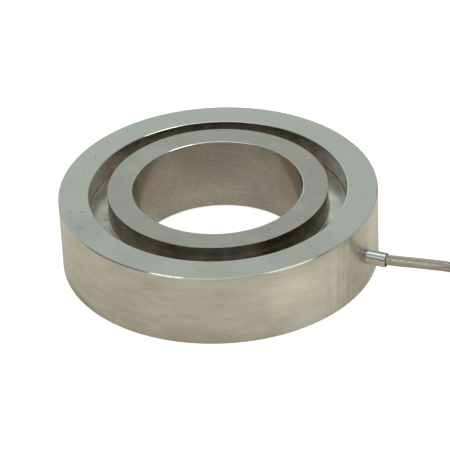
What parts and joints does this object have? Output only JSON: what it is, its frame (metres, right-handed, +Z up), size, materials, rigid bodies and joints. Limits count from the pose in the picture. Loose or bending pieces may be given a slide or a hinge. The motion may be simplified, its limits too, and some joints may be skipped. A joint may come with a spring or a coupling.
{
  "type": "through-hole strain gauge load cell",
  "caption": "Steel ring load cell with a wide through hole: a raised load ring inside an outer ring, a covered gauge pocket between them and a shielded cable that ends in flying leads.",
  "frame": {"origin": "on the axis of the bore, in the plane of the outer ring's underside, on which the cell stands", "axes": "+Z up along the bore's axis, out of the load ring's face; the cable leaves 24.5 degrees from +X towards -Y"},
  "size_m": [0.2063, 0.1161, 0.025],
  "materials": {
    "cell_steel": "turned and ground stainless steel, cooler on the ground top faces than on the turned walls",
    "cover_steel": "thin stainless ring, welded and slightly heat-tinted",
    "gauge_foil": "metal foil grid on an amber polyimide backing",
    "enamelled_wire": "enamelled copper",
    "board": "solder-masked circuit board",
    "resistor": "dark chip resistor",
    "ferrule": "bright turned and polished steel",
    "cable_shield": "fine braided metal shield under a thin clear jacket",
    "sleeve": "black heat-shrink sleeve",
    "tie": "black nylon",
    "lead_red": "red insulation",
    "lead_black": "black insulation",
    "lead_green": "green insulation",
    "lead_white": "white insulation"
  },
  "bodies": {
    "root": {"cell_body": "cell_steel", "groove_cover": "cover_steel", "strain_gauge_1": "gauge_foil", "strain_gauge_2": "gauge_foil", "strain_gauge_3": "gauge_foil", "strain_gauge_4": "gauge_foil", "strain_gauge_5": "gauge_foil", "strain_gauge_6": "gauge_foil", "strain_gauge_7": "gauge_foil", "strain_gauge_8": "gauge_foil", "jumper_wire_1": "enamelled_wire", "jumper_wire_2": "enamelled_wire", "jumper_wire_3": "enamelled_wire", "jumper_wire_4": "enamelled_wire", "jumper_wire_5": "enamelled_wire", "jumper_wire_6": "enamelled_wire", "jumper_wire_7": "enamelled_wire", "board_wire_1": "enamelled_wire", "board_wire_2": "enamelled_wire", "bridge_board": "board", "span_resistor_1": "resistor", "span_resistor_2": "resistor", "balance_resistor": "resistor", "zero_drift_resistor": "resistor", "inner_lead_red": "lead_red", "inner_lead_black": "lead_black", "inner_lead_green": "lead_green", "inner_lead_white": "lead_white", "cable_ferrule": "ferrule", "cable": "cable_shield", "cable_coil": "cable_shield", "coil_tie_1": "tie", "coil_tie_2": "tie", "cable_tail": "cable_shield", "end_sleeve": "sleeve", "flying_lead_red": "lead_red", "flying_lead_black": "lead_black", "flying_lead_green": "lead_green", "flying_lead_white": "lead_white"}
  },
  "joints": []
}
